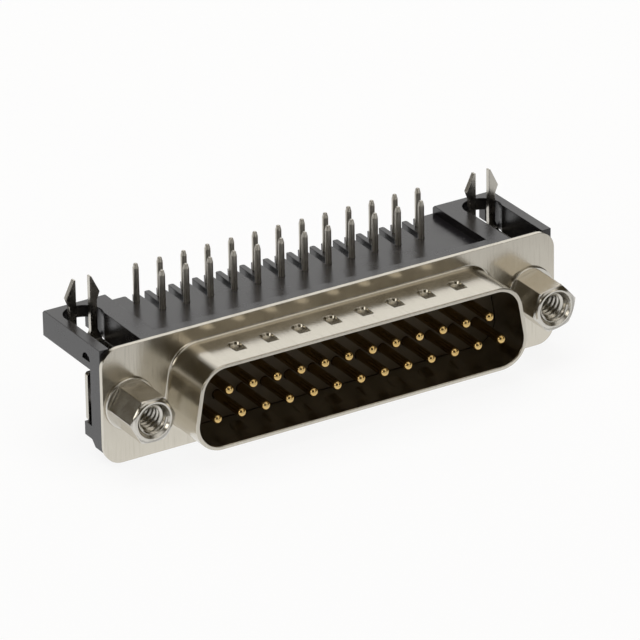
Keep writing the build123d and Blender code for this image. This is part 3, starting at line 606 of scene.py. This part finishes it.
for side in ("left", "right"):
    finish_node(f"earth_tab_{side}", tinned_strip)
    finish_node(f"board_lock_{side}", tinned_strip)
print("board locks:", tinned_strip.name)

# %% [markdown]
# ## Threads inside the screwlocks
# Each screwlock is tapped for the 4-40 jackscrew of the cable plug, 0.635 mm from turn to
# turn. The tap follows the countersink, so the first turns fade out on its cone. The solids
# stop at the thread's largest radius. One helical ridge per screwlock adds the rest, which
# keeps the solids simple and still catches a row of small highlights in the mouth.

# %% Helical ridges
STEPS_PER_TURN = 40
RIDGE_FROM, RIDGE_TO = 0.36, 3.9              # mm behind the mouth's face
MOUTH_RADIUS, WALL_RADIUS, CREST_RADIUS = 1.87, 1.42, 1.13    # mm, of rim, bore and ridge
CONE_SLOPE, CREST_SLOPE = 0.6, 0.98           # how fast wall and ridge close in on the cone
SUNK = 0.015                  # mm, the ridge's foot lies this far inside the wall
HALF_CREST, HALF_FOOT = 0.05, 0.06            # mm along the bore, of a ridge without height
FLANK = 0.55                  # mm that each side of the foot gains per mm of height


def thread_ridge(name, centre):
    """One closed ridge that winds into a bore clockwise, seen from the front."""
    points = []
    faces = []
    steps = round((RIDGE_TO - RIDGE_FROM) / THREAD_PITCH * STEPS_PER_TURN)
    for step in range(steps + 1):
        depth = RIDGE_FROM + THREAD_PITCH * step / STEPS_PER_TURN
        angle = -2 * math.pi * step / STEPS_PER_TURN
        wall = max(WALL_RADIUS, MOUTH_RADIUS - CONE_SLOPE * depth) + SUNK
        crest = max(CREST_RADIUS, MOUTH_RADIUS - CREST_SLOPE * depth)
        foot = HALF_FOOT + FLANK * (wall - crest)
        profile = ((-foot, wall), (-HALF_CREST, crest), (HALF_CREST, crest), (foot, wall))
        for along, radius in profile:
            points.append(((centre + radius * math.cos(angle)) * MM,
                           (MOUTH_FACE + depth + along) * MM, radius * math.sin(angle) * MM))
        if step:
            here, before = 4 * step, 4 * (step - 1)
            for corner in range(4):
                after = (corner + 1) % 4
                faces.append((before + corner, before + after, here + after, here + corner))
    faces.append((3, 2, 1, 0))
    faces.append(tuple(4 * steps + corner for corner in range(4)))
    mesh = bpy.data.meshes.new(name)
    mesh.from_pydata(points, [], faces)
    mesh.validate()
    ridge = bpy.data.objects.new(name, mesh)
    bpy.context.scene.collection.objects.link(ridge)
    mesh.materials.append(nickel)
    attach(ridge, "root")
    return ridge


threads = [thread_ridge("thread_left", -SCREW_X), thread_ridge("thread_right", SCREW_X)]
print("thread ridges:", [(ridge.name, len(ridge.data.polygons)) for ridge in threads])

# %% [markdown]
# ## Contact numbers on the insulator
# The mould leaves a small raised number beside each contact. They stand upside down here,
# because the connector lies with its board side up. They are two hundredths of a millimetre
# high, so they only show where light grazes the face. They could be drawn in the relief of
# the plastic, but digits are easier to set as text, and one mesh then holds all of them.

# %% Raised numbers
FACE = -0.5                   # mm, front face of the insulator
PITCH, ROW = 2.77, 1.42       # mm, from contact to contact and from the middle to a row
DIGIT_HEIGHT, DIGIT_RELIEF = 0.95, 0.02       # mm, the relief as much above as below the face
BESIDE, BELOW = 1.45, 1.0     # mm, from a contact's axis to the middle of its number
CONTACTS, LONG_ROW = 25, 13
corners = []
polygons = []
for number in range(1, CONTACTS + 1):
    in_long_row = number <= LONG_ROW
    row = -ROW if in_long_row else ROW
    middle_number = 7 if in_long_row else 19.5
    along = (middle_number - number) * PITCH
    curve = bpy.data.curves.new(f"digits_{number:02d}", "FONT")
    curve.body = str(number)
    curve.size = DIGIT_HEIGHT * MM
    curve.extrude = DIGIT_RELIEF * MM
    curve.resolution_u = 3
    curve.align_x = "CENTER"
    curve.align_y = "CENTER"
    text = bpy.data.objects.new(f"digits_{number:02d}", curve)
    bpy.context.scene.collection.objects.link(text)
    bpy.context.view_layer.update()
    drawn = text.evaluated_get(bpy.context.evaluated_depsgraph_get())
    digits = bpy.data.meshes.new_from_object(drawn)
    offset = len(corners)
    for vertex in digits.vertices:
        corners.append(((along + BESIDE) * MM - vertex.co.x, FACE * MM - vertex.co.z,
                        (row - BELOW) * MM - vertex.co.y))
    for polygon in digits.polygons:
        polygons.append([offset + index for index in polygon.vertices])
    bpy.data.objects.remove(text)
    bpy.data.meshes.remove(digits)
    bpy.data.curves.remove(curve)
print("digits set as text:", len(corners), "corners,", len(polygons), "faces")

# %% One mesh for all numbers
mesh = bpy.data.meshes.new("contact_numbers")
mesh.from_pydata(corners, [], polygons)
mesh.validate()
numbers = bpy.data.objects.new("contact_numbers", mesh)
bpy.context.scene.collection.objects.link(numbers)
mesh.materials.append(insulator_skin)
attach(numbers, "root")
print("raised numbers:", len(mesh.polygons), "faces")
